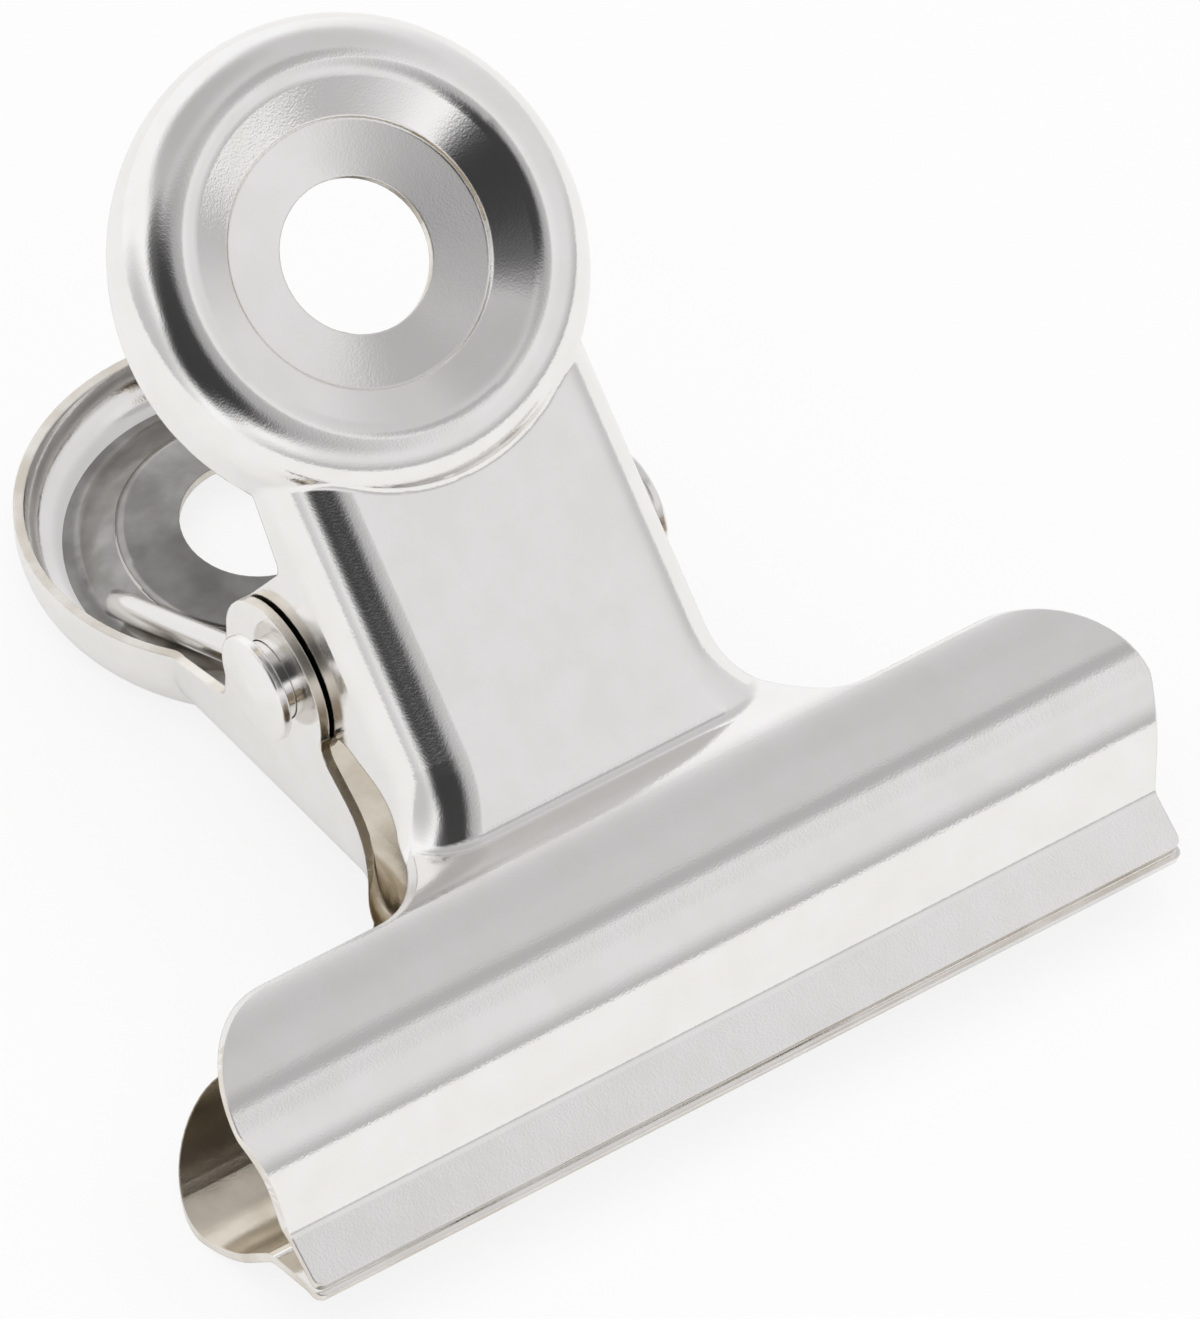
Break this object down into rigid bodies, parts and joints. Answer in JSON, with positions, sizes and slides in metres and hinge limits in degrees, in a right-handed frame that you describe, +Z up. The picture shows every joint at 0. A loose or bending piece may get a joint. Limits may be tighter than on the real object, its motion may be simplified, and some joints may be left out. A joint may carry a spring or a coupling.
{
  "type": "bulldog clip",
  "caption": "Spring clip of two stamped plated-steel arms on a headed pin, with wide folded jaws, dished finger discs with hanging holes, and a torsion spring.",
  "frame": {"origin": "middle of the clip's box in X and Y, on the table it lies on", "axes": "+X along the pivot pin, +Y from the jaws to the finger discs, +Z up from the table; the clip lies on its rear arm"},
  "size_m": [0.051, 0.0542, 0.0362],
  "materials": {
    "plated_sheet": "bright nickel plate, slightly grainy",
    "plated_pin": "bright nickel plate",
    "spring_wire": "drawn wire, plated"
  },
  "bodies": {
    "rear": {"rear_arm": "plated_sheet", "pivot_pin": "plated_pin", "torsion_spring": "spring_wire"},
    "front": {"front_arm": "plated_sheet"}
  },
  "joints": [
    {"name": "jaw_pivot", "type": "hinge", "parent": "rear", "child": "front", "pos_m": [0, -0.00036, 0.01188], "axis": [-1, 0, 0], "range_deg": [0, 66], "stiffness_Nm_per_rad": 0.33, "springref_deg": -8.59, "deforming": ["torsion_spring"]}
  ]
}
